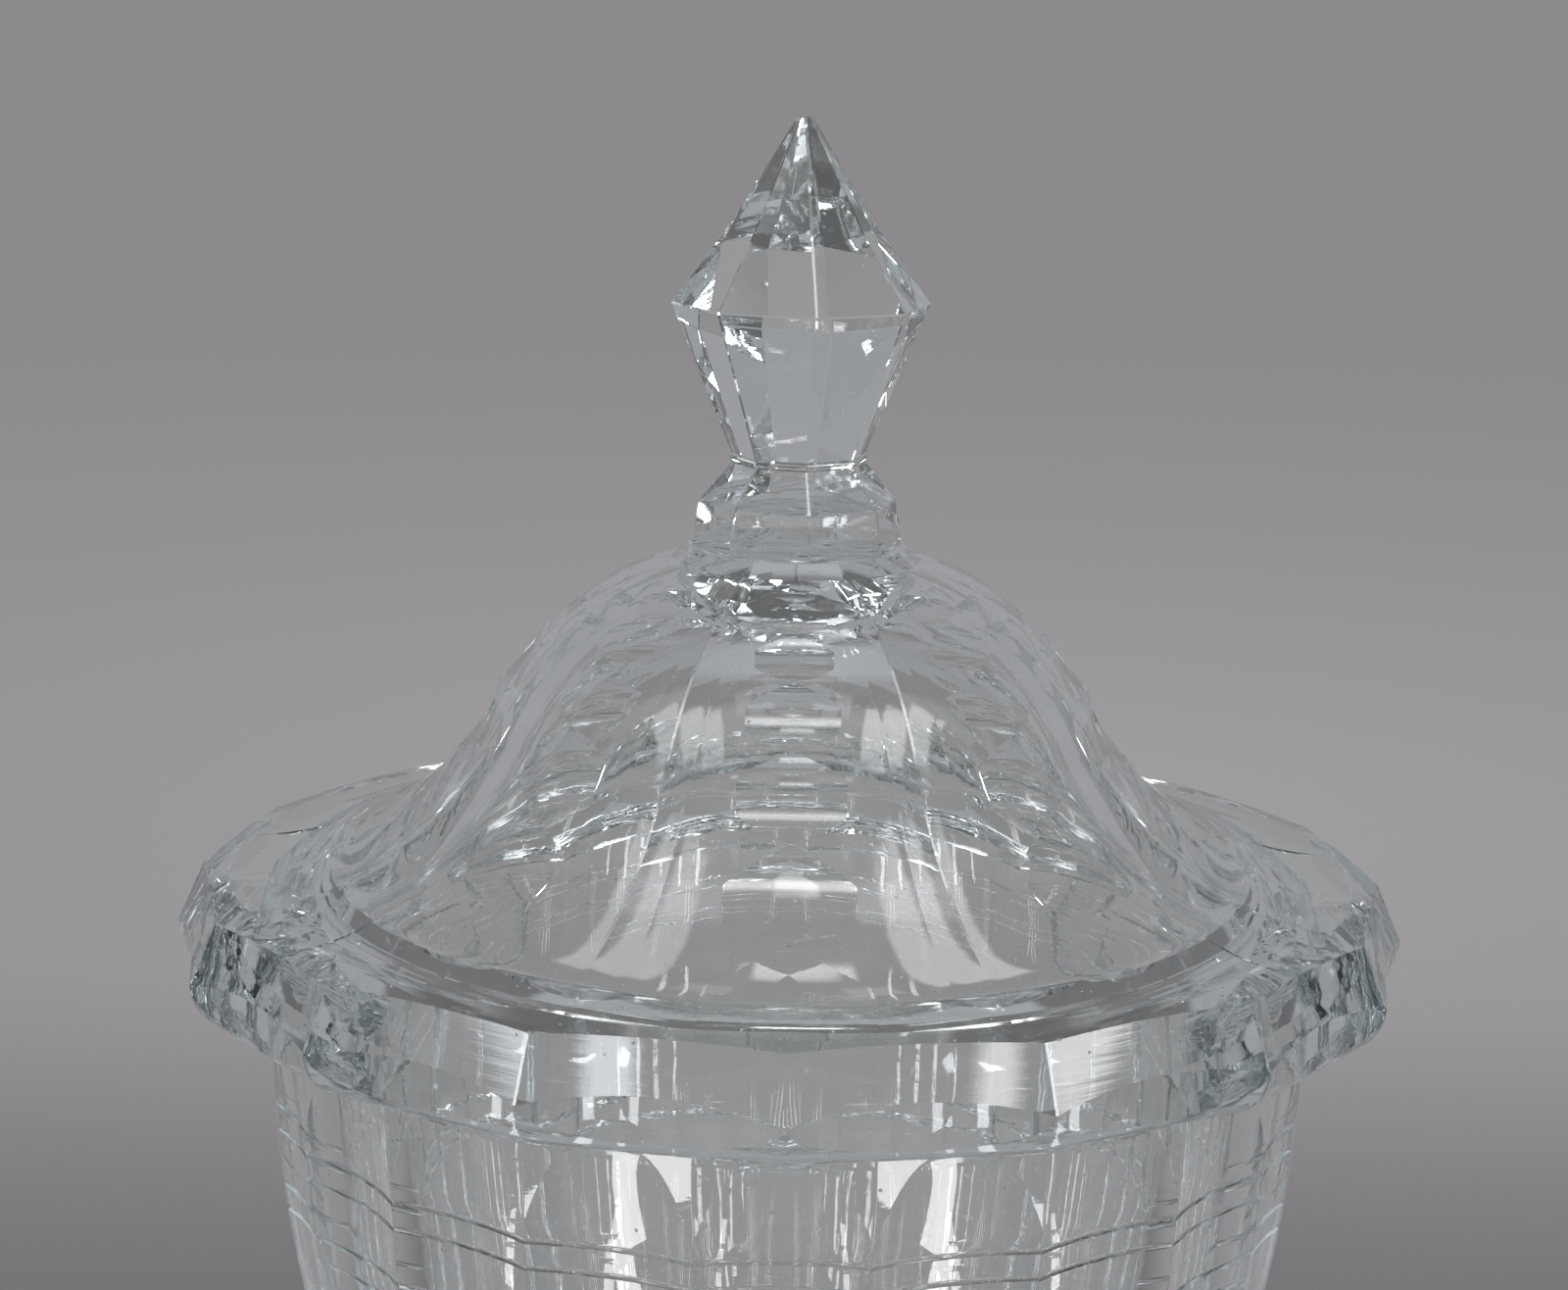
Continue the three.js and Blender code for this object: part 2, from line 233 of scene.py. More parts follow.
# The room that the glass shows: dark, with paper behind and below and a few windows.
# A window has its middle sideways, from -1 at the left to 1 at the right, its middle in
# degrees up from straight behind, its width and height in the same units, its colour, and
# how wide its soft edge is sideways. Upwards all have the same soft edge, in degrees
ROOM = (0.13, 0.13, 0.135)
RISE_FADE = 6
WINDOWS = (
    # Paper behind the object and in front of it
    (0.0, 0, 1.7, 80, (0.34, 0.345, 0.36), 0.08),
    (0.0, 147, 2.2, 70, (0.36, 0.37, 0.38), 0.08),
    # Two dim windows overhead, and a bright strip for the notches at the front
    (-0.22, 92, 0.13, 16, (1.5, 1.55, 1.7), 0.03),
    (0.22, 92, 0.13, 16, (1.9, 1.95, 2.1), 0.03),
    (0.04, 113, 0.3, 8, (8.0, 8.1, 8.3), 0.05),
    # Tall windows at the left and the right, for the flare above the brim
    (-0.51, 107, 0.19, 30, (4.2, 4.2, 4.3), 0.04),
    (0.51, 105, 0.19, 34, (5.4, 5.4, 5.5), 0.04),
    # Narrow low windows in front, for the streaks on the bowl
    (-0.7, 157, 0.07, 34, (13.0, 13.1, 13.4), 0.02),
    (0.7, 157, 0.07, 34, (13.0, 13.1, 13.4), 0.02),
    # Small bright windows for the rim's facets, first beside the front, then further out
    (-0.393, 150, 0.012, 14, (8.5, 8.9, 9.3), 0.006),
    (0.401, 150, 0.009, 14, (8.5, 8.6, 8.8), 0.006),
    (-0.888, 131, 0.022, 7, (6.5, 7.0, 7.4), 0.006),
    (0.8985, 129.5, 0.008, 8, (8.5, 8.6, 8.8), 0.004),
)

# Two strips of light that lie in front of the object, to the left and to the right, and
# shine upwards. The camera doesn't see them, but the bowl's flutes and points mirror them
LOW_LAMP_SIDE = 0.262
LOW_LAMP_FRONT = 0.35
LOW_LAMP_HEIGHT = 0.002
LOW_LAMP_WIDTH = 0.036
LOW_LAMP_LENGTH = 0.29
LOW_LAMP_TURN = math.radians(26)
LOW_LAMP_POWER = 0.33

# The glass's colour, how strongly it bends light, its tint, which shows where the light's
# way through it is long, and the tint's strength per metre
GLASS_COLOUR = (0.985, 0.995, 0.992, 1)
GLASS_IOR = 1.53
GLASS_ROUGHNESS = 0.012
GLASS_TINT = (0.84, 0.93, 0.95, 1)
GLASS_DEPTH = 5

# Rough specks of dust: how many to the metre, and how their roughness fades from the core
# to the edge, in shares of the distance between them
SPECK_SCALE = 260
SPECK_ROUGHNESS = 0.5
SPECK_CORE = 0.05
SPECK_EDGE = 0.09

# The ripple of the blown faces, and the marks of polishing on the cut faces, whose depth
# is a share of the ripple's
RIPPLE_DEPTH = 0.05 * MM
RIPPLE_SCALE = (60, 60, 190)
RIPPLE_DETAIL = 2
POLISH_SHARE = 0.12
POLISH_SCALE = (40, 40, 900)
POLISH_DETAIL = 3

# What the glass shows of the floor in front of the object, which no light reaches
FRONT_FLOOR = (0.11, 0.11, 0.112)
FRONT_REACH = 0.12

# The floor under the foot, which light reaches through the glass: its glow, and how far
# out from the middle it goes on and ends
FOOT_GLOW = 0.2
GLOW_RADIUS = 0.066
GLOW_END = 0.078

# How often light is followed through the glass, and from mirror to mirror
GLASS_BOUNCES = 32
MIRROR_BOUNCES = 16


def along(start, degrees, distance):
    """The point at a distance from another, in a direction from straight out."""
    heading = math.radians(degrees)
    return (start[0] + distance * math.cos(heading), start[1] + distance * math.sin(heading))


def bezier(controls, steps):
    """Points along a Bezier curve with three or four controls."""
    points = []
    for i in range(steps + 1):
        row = [Vector(control) for control in controls]
        while len(row) > 1:
            row = [a.lerp(b, i / steps) for a, b in zip(row, row[1:])]
        points.append(tuple(row[0]))
    return points


def flat_share(sides):
    """The share of a ridge's radius that is left at the middle of the flat beside it."""
    return math.cos(math.pi / sides)


def raised(profile, height):
    return [(radius, z + height) for radius, z in profile]


# Meshes, whose faces are tagged by the kind of surface that they belong to


def surface_slots(mesh):
    for surface in SURFACES:
        tag = bpy.data.materials.get(surface) or bpy.data.materials.new(surface)
        mesh.materials.append(tag)


def new_piece(name, vertices, faces, kinds):
    mesh = bpy.data.meshes.new(name)
    mesh.from_pydata(vertices, [], faces)
    surface_slots(mesh)
    mesh.polygons.foreach_set("material_index", [SURFACES.index(kind) for kind in kinds])
    piece = bpy.data.objects.new(name, mesh)
    bpy.context.scene.collection.objects.link(piece)
    return piece


def polygon_ring(radius, height, sides, bevel, turn):
    """A level polygon with a corner at the front, each corner cut by a narrow bevel."""
    step = 2 * math.pi / sides
    corners = []
    for k in range(sides):
        angle = math.radians(turn) - math.pi / 2 + step * k
        corners.append(Vector((radius * math.cos(angle), radius * math.sin(angle), height)))
    if not bevel:
        return corners
    share = min(bevel / (2 * radius * math.sin(step / 2)), BEVEL_LIMIT)
    ring = []
    for k, corner in enumerate(corners):
        ring.append(corner.lerp(corners[k - 1], share))
        ring.append(corner.lerp(corners[(k + 1) % sides], share))
    return ring


def turned(name, profile, sides, bevel=0.0, turn=0.0, kind=None):
    """A solid turned about the upright axis, from a profile that starts and ends on it."""
    vertices, faces, kinds, rings = [], [], [], []
    for radius, height in profile:
        if radius < AXIS_DISTANCE:
            ring = [Vector((0, 0, height))]
        else:
            ring = polygon_ring(radius, height, sides, bevel, turn)
        rings.append(range(len(vertices), len(vertices) + len(ring)))
        vertices.extend(ring)
    count = max(len(ring) for ring in rings)
    for upper, lower in zip(rings, rings[1:]):
        for k in range(count):
            after = (k + 1) % count
            corners = [upper[k % len(upper)], lower[k % len(lower)]]
            corners += [lower[after % len(lower)], upper[after % len(upper)]]
            face = list(dict.fromkeys(corners))
            if len(face) < 3:
                continue
            faces.append(face)
            if kind:
                kinds.append(kind)
            elif bevel and k % 2 == 0:
                kinds.append("ridge")
            else:
                side = k // 2 if bevel else k
                kinds.append(SURFACES[side % 2])
    piece = new_piece(name, vertices, faces, kinds)
    face_outwards(piece.data)
    return piece


def turned_ring(name, loop, sides, kind):
    """A ring turned about the upright axis, from a closed loop that stays off it."""
    vertices, faces = [], []
    n = len(loop)
    for i in range(sides):
        angle = 2 * math.pi * i / sides
        vertices.extend(Vector((r * math.cos(angle), r * math.sin(angle), z)) for r, z in loop)
        after_ring = (i + 1) % sides
        for k in range(n):
            after = (k + 1) % n
            faces.append([i * n + k, i * n + after, after_ring * n + after, after_ring * n + k])
    piece = new_piece(name, vertices, faces, [kind] * len(faces))
    face_outwards(piece.data)
    return piece


def prism(outline, axes, origin, start, end):
    """Corners and faces of an outline swept from start to end along the third axis."""
    across, up, along_axis = axes
    corners = []
    for reach in (start, end):
        for a, b in outline:
            corners.append(origin + across * a + up * b + along_axis * reach)
    n = len(outline)
    faces = [list(range(n - 1, -1, -1)), list(range(n, 2 * n))]
    for k in range(n):
        after = (k + 1) % n
        faces.append([k, after, n + after, n + k])
    return corners, faces


def spread(name, shape, turns, kind):
    """Copies of a cutter turned about the upright axis, joined in one mesh."""
    corners, faces = shape
    vertices, all_faces = [], []
    for turn in turns:
        rotation = Matrix.Rotation(math.radians(turn), 3, "Z")
        base = len(vertices)
        vertices.extend(rotation @ corner for corner in corners)
        all_faces.extend([base + k for k in face] for face in faces)
    piece = new_piece(name, vertices, all_faces, [kind] * len(all_faces))
    face_outwards(piece.data)
    return piece


def face_outwards(mesh):
    work = bmesh.new()
    work.from_mesh(mesh)
    bmesh.ops.recalc_face_normals(work, faces=work.faces)
    work.to_mesh(mesh)
    work.free()


def carve(piece, tool, operation):
    """Joins a solid to a piece or cuts it away, and deletes the tool."""
    modifier = piece.modifiers.new("carve", "BOOLEAN")
    modifier.operation = operation
    modifier.solver = "MANIFOLD"
    modifier.material_mode = "TRANSFER"
    modifier.object = tool
    shown = piece.evaluated_get(bpy.context.evaluated_depsgraph_get())
    mesh = bpy.data.meshes.new_from_object(shown)
    piece.modifiers.clear()
    piece.data = mesh
    bpy.data.objects.remove(tool)


def alternate(count):
    """Even and odd turns of an all round pattern, because neighbouring cutters touch."""
    turns = [360 * k / count for k in range(count)]
    return ((turns[0::2], "cut_even"), (turns[1::2], "cut_odd"))


def finish_surface(piece, glass):
    """Marks the sharp edges and the blown faces, then gives the whole piece its glass."""
    mesh = piece.data
    names = [slot.name for slot in mesh.materials]
    work = bmesh.new()
    work.from_mesh(mesh)
    bmesh.ops.remove_doubles(work, verts=work.verts, dist=WELD_DISTANCE)
    bmesh.ops.dissolve_degenerate(work, edges=work.edges, dist=WELD_DISTANCE)
    blown = work.faces.layers.float.new("blown")
    for face in work.faces:
        face.smooth = True
        face[blown] = 1.0 if names[face.material_index] == "blown" else 0.0
    for edge in work.edges:
        if len(edge.link_faces) != 2:
            continue
        first, second = edge.link_faces
        same = first.material_index == second.material_index
        edge.smooth = same and edge.calc_face_angle(0) < SHARP_TURN
    for face in work.faces:
        face.material_index = 0
    work.to_mesh(mesh)
    work.free()
    mesh.materials.clear()
    mesh.materials.append(glass)


# Sizes that follow from the others

COLLAR_SEAT_RADIUS = COLLAR_FOOT_RADIUS + COLLAR_MARGIN
MOUTH_RADIUS = BOWL_RADIUS * flat_share(BOWL_FLUTES) - BOWL_WALL
FLANGE_RADIUS = MOUTH_RADIUS - FLANGE_CLEARANCE
SEAT_OUTER_RADIUS = FLANGE_RADIUS + SEAT_WIDTH
CROWN = (COLLAR_SEAT_RADIUS, CROWN_HEIGHT - MOUTH_HEIGHT)
SHOULDER = (CROWN[0] + COVE_WIDTH, CROWN[1] - COVE_HEIGHT)
WAIST = (WAIST_RADIUS, WAIST_HEIGHT)
FACET_FOOT = (RIM_RADIUS, RIM_UNDERSIDE)
FACET_TOP = (FACET_FOOT[0] - FACET_LEAN, FACET_FOOT[1] + FACET_HEIGHT)
BRIM = (FACET_TOP[0] - BRIM_BAND_WIDTH, FACET_TOP[1] + BRIM_BAND_RISE)
UNDERSIDE = (FACET_FOOT, (FACET_FOOT[0] - UNDERSIDE_TUCK, UNDERSIDE_TUCK), (SEAT_OUTER_RADIUS, 0.0))


# Lid


def ridge_line():
    upper = (
        SHOULDER,
        along(SHOULDER, -SHOULDER_ANGLE, SHOULDER_PULL),
        along(WAIST, 180 - WAIST_ANGLE, WAIST_PULL_UP),
        WAIST,
    )
    lower = (
        WAIST,
        along(WAIST, -WAIST_ANGLE, WAIST_PULL_DOWN),
        along(BRIM, 180 - BRIM_ANGLE, BRIM_PULL),
        BRIM,
    )
    return bezier(upper, CURVE_STEPS) + bezier(lower, CURVE_STEPS)[1:]


def chamfered(profile, bevel):
    """A profile with each inner corner cut by a narrow bevel."""
    points = [profile[0]]
    for before, corner, after in zip(profile, profile[1:], profile[2:]):
        middle = Vector(corner)
        for neighbour in (Vector(before), Vector(after)):
            step = neighbour - middle
            points.append(tuple(middle + step * min(bevel / step.length, BEVEL_LIMIT)))
    points.append(profile[-1])
    return points


def brim_corner():
    """Where the ridge line, carried on straight, would meet the rim's leaning facets."""
    fall = math.tan(math.radians(BRIM_ANGLE))
    lean = FACET_LEAN / FACET_HEIGHT
    level_reach = FACET_FOOT[0] + lean * FACET_FOOT[1]
    height = (BRIM[1] - fall * (level_reach - BRIM[0])) / (1 - fall * lean)
    return (FACET_FOOT[0] - lean * (height - FACET_FOOT[1]), height)


def brim_cutter():
    """What a round band, turned along the brim, takes off the flare and the facets."""
    fall = BRIM_BAND_RISE / BRIM_BAND_WIDTH
    inner = BRIM[0]
    outer = RIM_RADIUS + CUTTER_RUN
    low = BRIM[1] - fall * (outer - inner)
    top = BRIM[1] + CUTTER_RUN
    outline = [(inner, BRIM[1]), (outer, low), (outer, top), (inner, top)]
    return turned_ring("brim_cutter", raised(outline, MOUTH_HEIGHT), ROUND_SIDES, "cut_odd")


def lid_blank():
    edge = chamfered([BRIM, brim_corner(), FACET_FOOT], EDGE_BEVEL)
    outline = [(0.0, CROWN[1]), CROWN, *ridge_line()[:-1], *edge]
    outline += bezier(UNDERSIDE, UNDERSIDE_STEPS)[1:] + [(0.0, 0.0)]
    return turned("lid_glass", raised(outline, MOUTH_HEIGHT), LID_PANELS, RIDGE_BEVEL)


def lid_hollow():
    top = (0.0, CROWN[1] - CROWN_THICKNESS)
    inset = LID_WALL + WAIST[0] * (1 - flat_share(LID_PANELS))
    middle = along(WAIST, 270 - WAIST_ANGLE, inset)
    turn = (FLANGE_RADIUS - FLANGE_TOP_WALL, FLANGE_TOP)
    lip_radius = FLANGE_RADIUS - FLANGE_LIP
    upper = (
        top,
        (HOLLOW_FULLNESS * middle[0], top[1]),
        along(middle, 180 - WAIST_ANGLE, WAIST_PULL_UP),
        middle,
    )
    lower = (
        middle,
        along(middle, -WAIST_ANGLE, WAIST_PULL_DOWN),
        along(turn, 180 - FLANGE_TOP_ANGLE, FLANGE_TOP_PULL),
        turn,
    )
    floor = -FLANGE_DEPTH - CUTTER_RUN
    outline = bezier(upper, CURVE_STEPS) + bezier(lower, CURVE_STEPS)[1:]
    outline += [(lip_radius, -FLANGE_DEPTH), (lip_radius, floor), (0.0, floor)]
    return turned("lid_hollow", raised(outline, MOUTH_HEIGHT), ROUND_SIDES, kind="blown")


def lid_flange():
    outline = [(0.0, CUTTER_RUN), (FLANGE_RADIUS, CUTTER_RUN)]
    outline += [(FLANGE_RADIUS, -FLANGE_DEPTH + FLANGE_BEVEL)]
    outline += [(FLANGE_RADIUS - FLANGE_BEVEL, -FLANGE_DEPTH), (0.0, -FLANGE_DEPTH)]
    return turned("lid_flange", raised(outline, MOUTH_HEIGHT), ROUND_SIDES, kind="cut_even")


class RidgePath:
    """The front ridge as a path that is read by the distance along it."""

    def __init__(self):
        self.points = [Vector(p) for p in ridge_line()]
        self.reached = [0.0]
        for a, b in zip(self.points, self.points[1:]):
            self.reached.append(self.reached[-1] + (b - a).length)
        self.length = self.reached[-1]

    def at(self, distance):
        for i in range(1, len(self.points)):
            if self.reached[i] >= distance:
                step = self.reached[i] - self.reached[i - 1]
                share = (distance - self.reached[i - 1]) / step
                return self.points[i - 1].lerp(self.points[i], share)
        return self.points[-1]


def notch_shape(path, start, end):
    """A wheel lying across the front ridge, kept only where it is near the glass."""
    first, last, top = path.at(start), path.at(end), path.at((start + end) / 2)
    chord = last - first
    outward = Vector((-chord.y, chord.x)).normalized()
    centre = (first + last) / 2
    reach = top.x * math.tan(math.radians(NOTCH_SPREAD))
    depth = reach * math.tan(math.pi / LID_PANELS) * -chord.y / chord.length
    sag = depth - (top - centre).dot(outward)
    radius = (chord.length_squared / 4 + sag * sag) / (2 * sag)
    centre += outward * (radius - sag)
    half_turn = math.asin(chord.length / 2 / radius) * NOTCH_OVERRUN
    along_chord = chord.normalized()
    outline = []
    for i in range(NOTCH_STEPS + 1):
        angle = half_turn * (2 * i / NOTCH_STEPS - 1)
        forward = along_chord * (radius * math.sin(angle))
        inward = outward * (radius * math.cos(angle))
        spot = centre + forward - inward
        outline.append((spot.x, spot.y))
    for end_spot in (outline[-1], outline[0]):
        lifted = Vector(end_spot) + outward * (NOTCH_LIFT * sag)
        outline.append((lifted.x, lifted.y))
    axes = (Vector((0, -1, 0)), Vector((0, 0, 1)), Vector((1, 0, 0)))
    half_width = reach * NOTCH_BLUNTNESS
    return prism(outline, axes, Vector((0, 0, MOUTH_HEIGHT)), -half_width, half_width)


def cut_notches(lid):
    path = RidgePath()
    room = path.length - NOTCH_START - NOTCH_END
    first = room * (NOTCH_GROWTH - 1) / (NOTCH_GROWTH**NOTCH_COUNT - 1)
    turns = [360 * k / NOTCHED_RIDGES for k in range(NOTCHED_RIDGES)]
    start = NOTCH_START
    for i in range(NOTCH_COUNT):
        end = start + first * NOTCH_GROWTH**i
        kind = ("cut_even", "cut_odd")[i % 2]
        carve(lid, spread("notches", notch_shape(path, start, end), turns, kind), "DIFFERENCE")
        start = end


def scallop_shape():
    """A long wheel that hollows the rim's underside below one facet."""
    flat = flat_share(LID_PANELS)
    foot, top = Vector(FACET_FOOT), Vector(FACET_TOP)
    arch = foot.lerp(top, SCALLOP_RISE / FACET_HEIGHT)
    outer = Vector((arch.x * flat, arch.y))
    a, b, c = (Vector(p) for p in UNDERSIDE)
    fade = a.lerp(b, SCALLOP_REACH).lerp(b.lerp(c, SCALLOP_REACH), SCALLOP_REACH)
    inner = Vector((fade.x * flat, fade.y))
    slope = (outer - inner).normalized()
    downward = Vector((slope.y, -slope.x))
    sag = (Vector((foot.x * flat, foot.y)) - outer).dot(downward)
    half_facet = foot.x * math.sin(math.pi / LID_PANELS)
    radius = (half_facet**2 + sag**2) / (2 * sag)
    middle = (outer + inner) / 2
    half_turn = math.asin(half_facet / radius) * SCALLOP_OVERRUN
    outline = []
    for i in range(SCALLOP_STEPS + 1):
        angle = half_turn * (2 * i / SCALLOP_STEPS - 1)
        outline.append((radius * math.sin(angle), radius * (1 - math.cos(angle))))
    lift = SCALLOP_LIFT * sag
    outline += [(outline[-1][0], outline[-1][1] + lift), (outline[0][0], outline[0][1] + lift)]
    axes = (
        Vector((1, 0, 0)),
        Vector((0, -downward.x, downward.y)),
        Vector((0, -slope.x, slope.y)),
    )
    reach = (outer - inner).length / 2 + CUTTER_RUN
    origin = Vector((0, -middle.x, middle.y + MOUTH_HEIGHT))
    return prism(outline, axes, origin, -reach, reach)


def cut_scallops(lid):
    half_panel = 180 / LID_PANELS
    for turns, kind in alternate(LID_PANELS):
        tool = spread("scallops", scallop_shape(), [turn + half_panel for turn in turns], kind)
        carve(lid, tool, "DIFFERENCE")


def collar_profile():
    """The collar from its wide foot up to the neck."""
    return [
        (COLLAR_FOOT_RADIUS, 0.0),
        (COLLAR_BAND_RADIUS, COLLAR_BAND_HEIGHT),
        (NECK_RADIUS, COLLAR_HEIGHT - 2 * FILLET_HEIGHT),
        (NECK_RADIUS + FILLET_PROUD, COLLAR_HEIGHT - FILLET_HEIGHT),
        (NECK_RADIUS, COLLAR_HEIGHT),
    ]


def finial():
    sunk = CROWN_HEIGHT - CUTTER_RUN
    outline = [(0.0, sunk), (COLLAR_FOOT_RADIUS, sunk)]
    outline += raised(collar_profile(), CROWN_HEIGHT)
    outline += [
        (GIRDLE_RADIUS, SPIRE_BASE + GIRDLE_HEIGHT),
        (SPIRE_BREAK_RADIUS, SPIRE_BASE + SPIRE_BREAK_HEIGHT),
        (TIP_RADIUS, SPIRE_TOP - TIP_HEIGHT),
        (TIP_FLAT, SPIRE_TOP),
        (0.0, SPIRE_TOP),
    ]
    outline = chamfered(outline, EDGE_BEVEL)
    return turned("finial", outline, STEM_SIDES, RIDGE_BEVEL, FINIAL_TURN)


def make_lid(glass):
    lid = lid_blank()
    cut_notches(lid)
    carve(lid, brim_cutter(), "DIFFERENCE")
    cut_scallops(lid)
    carve(lid, lid_flange(), "UNION")
    carve(lid, finial(), "UNION")
    carve(lid, lid_hollow(), "DIFFERENCE")
    finish_surface(lid, glass)
    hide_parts("lid_dome", "finial_collar", "finial_spire")
    return lid


# Bowl, stem and foot

BOWL_REACH = BOWL_HEIGHT / (
    1 - (COLLAR_SEAT_RADIUS / BOWL_RADIUS) ** BOWL_FULLNESS
) ** (1 / BOWL_FULLNESS)


def full_curve(radius, depth, share):
    angle = share * math.pi / 2
    power = 2 / BOWL_FULLNESS
    return (radius * math.cos(angle) ** power, -depth * math.sin(angle) ** power)


def ridge_radius(height):
    share = min(max(-height / BOWL_REACH, 0), BOWL_HEIGHT / BOWL_REACH)
    return BOWL_RADIUS * (1 - share**BOWL_FULLNESS) ** (1 / BOWL_FULLNESS)


def bowl_rows():
    """Heights down the bowl, closer together where the curve turns in."""
    last = math.acos((COLLAR_SEAT_RADIUS / BOWL_RADIUS) ** (BOWL_FULLNESS / 2)) / (math.pi / 2)
    heights = []
    for i in range(1, 2 * CURVE_STEPS):
        heights.append(full_curve(BOWL_RADIUS, BOWL_REACH, last * i / (2 * CURVE_STEPS))[1])
    return [*heights, -BOWL_HEIGHT]


def bowl_blank():
    outline = [(0.0, -SEAT_GAP), (BOWL_RADIUS - MOUTH_BEVEL, -SEAT_GAP)]
    outline.append((BOWL_RADIUS, -MOUTH_BEVEL))
    outline += [(ridge_radius(z), z) for z in bowl_rows() if z < -MOUTH_BEVEL]
    outline.append((0.0, -BOWL_HEIGHT))
    half_flute = 180 / BOWL_FLUTES
    return turned("bowl_glass", raised(outline, MOUTH_HEIGHT), BOWL_FLUTES, RIDGE_BEVEL, half_flute)


def bowl_hollow():
    depth = BOWL_HEIGHT - BOWL_FLOOR
    outline = [(0.0, CUTTER_RUN), (MOUTH_RADIUS, CUTTER_RUN)]
    for i in range(2 * CURVE_STEPS):
        outline.append(full_curve(MOUTH_RADIUS, depth, i / (2 * CURVE_STEPS)))
    outline.append((0.0, -depth))
    return turned("bowl_hollow", raised(outline, MOUTH_HEIGHT), ROUND_SIDES, kind="blown")


def ring_heights():
    heights = []
    for i in range(RING_PAIRS):
        upper = -ARCH_TOP - ARCH_HEIGHT - FIRST_RING - i * RING_PAIR_PITCH
        heights += [upper, upper - RING_GAP]
    return heights


def flute_profile():
    """The wheel's outline, from below the bowl up to the arch under the mouth."""
    flat = flat_share(BOWL_FLUTES)
    axis_radius = BOWL_RADIUS * flat + FLUTE_WHEEL_RADIUS
    arch_foot = -ARCH_TOP - ARCH_HEIGHT

    def full_depth(height):
        ridge = ridge_radius(height)
        half_flute = ridge * math.sin(math.pi / BOWL_FLUTES)
        return half_flute**2 / (2 * (axis_radius - ridge * flat)) + FLUTE_BITE

    def depth_at(height):
        if height > arch_foot:
            share = max(0.0, (-ARCH_TOP - height) / ARCH_HEIGHT)
            return full_depth(arch_foot) * share**ARCH_ROUNDNESS
        nearest = min(abs(height - ring) for ring in ring_heights())
        groove = max(0.0, 1 - (2 * nearest / RING_WIDTH) ** 2)
        return full_depth(height) + RING_DEPTH * groove

    rows = [arch_foot + ARCH_HEIGHT * (1 - (1 - i / ARCH_STEPS) ** 2) for i in range(ARCH_STEPS)]
    clear = RING_CLEAR * RING_WIDTH
    for height in bowl_rows():
        if height < arch_foot and min(abs(height - ring) for ring in ring_heights()) > clear:
            rows.append(height)
    for ring in ring_heights():
        half = RING_STEPS // 2
        rows += [ring + RING_WIDTH * step / RING_STEPS for step in range(-half, half + 1)]
    rows.append(-BOWL_HEIGHT - CUTTER_RUN)
    rows.sort()
    outline = [(axis_radius - ridge_radius(z) * flat + depth_at(z), z) for z in rows]
    outline.append((FLUTE_WHEEL_RADIUS - FLUTE_BITE, -ARCH_TOP))
    return outline, axis_radius


def flute_shape():
    """The slice of the upright wheel that faces the bowl, for the front flute."""
    outline, axis_radius = flute_profile()
    low, high = outline[0][1], outline[-1][1]
    back = FLUTE_SLICE * FLUTE_WHEEL_RADIUS
    loop = [(back, low), *outline, (back, high)]
    corners, faces = [], []
    n = len(loop)
    for i in range(FLUTE_STEPS + 1):
        angle = math.radians(FLUTE_SWEEP) * (2 * i / FLUTE_STEPS - 1)
        for radius, height in loop:
            x, y = radius * math.sin(angle), radius * math.cos(angle) - axis_radius
            corners.append(Vector((x, y, height + MOUTH_HEIGHT)))
    for i in range(FLUTE_STEPS):
        for k in range(n):
            after = (k + 1) % n
            faces.append([i * n + k, i * n + after, (i + 1) * n + after, (i + 1) * n + k])
    faces.append(list(range(n)))
    faces.append([FLUTE_STEPS * n + k for k in range(n - 1, -1, -1)])
    return corners, faces


def stem():
    """Bowl collar, knop and foot collar in one turned length, sunk into bowl and foot."""
    low = FOOT_TOP - CUTTER_RUN
    high = BOWL_BASE + CUTTER_RUN
    upturned = [(radius, BOWL_BASE - z) for radius, z in reversed(collar_profile())]
    outline = [(0.0, low), (COLLAR_FOOT_RADIUS, low)]
    outline += raised(collar_profile(), FOOT_TOP)
    outline.append((KNOP_RADIUS, (KNOP_BASE + KNOP_TOP) / 2))
    outline += upturned + [(COLLAR_FOOT_RADIUS, high), (0.0, high)]
    return turned("stem", chamfered(outline, EDGE_BEVEL), STEM_SIDES, RIDGE_BEVEL)


def foot():
    top = (COLLAR_SEAT_RADIUS, FOOT_TOP)
    edge = (FOOT_RADIUS, FOOT_BEVEL)
    edge_top = (edge[0] - FOOT_FACET_LEAN, edge[1] + FOOT_FACET_HEIGHT)
    brim_inner = (edge_top[0] - FOOT_BRIM_WIDTH, edge_top[1] + FOOT_BRIM_RISE)
    slope = (
        top,
        along(top, -FOOT_SLOPE, FOOT_PULL),
        along(brim_inner, 180 - BRIM_ANGLE, FOOT_BRIM_PULL),
        brim_inner,
    )
    outline = [(0.0, top[1]), *bezier(slope, CURVE_STEPS), edge_top, edge]
    outline += [(edge[0] - FOOT_BEVEL, 0.0), (0.0, 0.0)]
    return turned("foot_glass", outline, FOOT_PANELS, RIDGE_BEVEL)


def foot_recess():
    radius = FOOT_RADIUS - FOOT_BEVEL - FOOT_REST_WIDTH
    outline = [(0.0, FOOT_RECESS), (radius - FOOT_RECESS, FOOT_RECESS)]
    outline += [(radius, 0.0), (radius, -CUTTER_RUN), (0.0, -CUTTER_RUN)]
    return turned("foot_recess", outline, ROUND_SIDES, kind="cut_even")


